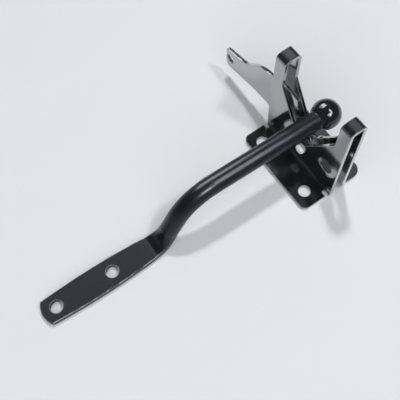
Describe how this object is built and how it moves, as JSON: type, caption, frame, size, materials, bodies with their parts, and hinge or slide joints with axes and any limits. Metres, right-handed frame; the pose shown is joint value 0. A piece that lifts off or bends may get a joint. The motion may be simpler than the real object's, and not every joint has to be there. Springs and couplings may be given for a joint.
{
  "type": "spring loaded gate latch",
  "caption": "Folded two-horn gate latch bracket with a sprung hook lever on a pivot pin, and a cranked striker bar with a ball end and a drilled flat blade.",
  "frame": {"origin": "midway between the two post screw holes of the wider flange, on the plane that meets the post", "axes": "+X along the pivot pin and the striker bar towards its ball, +Y along the bracket towards the lever's tail, +Z away from the post, the way the bar leaves the mouth"},
  "size_m": [0.1971, 0.1051, 0.07],
  "materials": {
    "black_coat": "glossy black coat",
    "lever_coat": "glossy black coat",
    "bar_coat": "satin black coat",
    "zinc_plate": "bright zinc plate",
    "spring_wire": "drawn spring wire"
  },
  "bodies": {
    "bracket": {"bracket": "black_coat", "pivot_pin": "zinc_plate", "torsion_spring": "spring_wire"},
    "lever": {"latch_lever": "lever_coat"},
    "bar": {"striker_bar": "bar_coat"}
  },
  "joints": [
    {"name": "lever_pivot", "type": "hinge", "parent": "bracket", "child": "lever", "pos_m": [0.016, -0.001, 0.0139], "axis": [1, 0, 0], "range_deg": [-8, 32], "stiffness_Nm_per_rad": 0.4, "springref_deg": 1.27, "deforming": ["torsion_spring"]},
    {"name": "bar_travel", "type": "slide", "parent": "bracket", "child": "bar", "axis": [0, 0, 1], "range_m": [0, 0.06]}
  ]
}
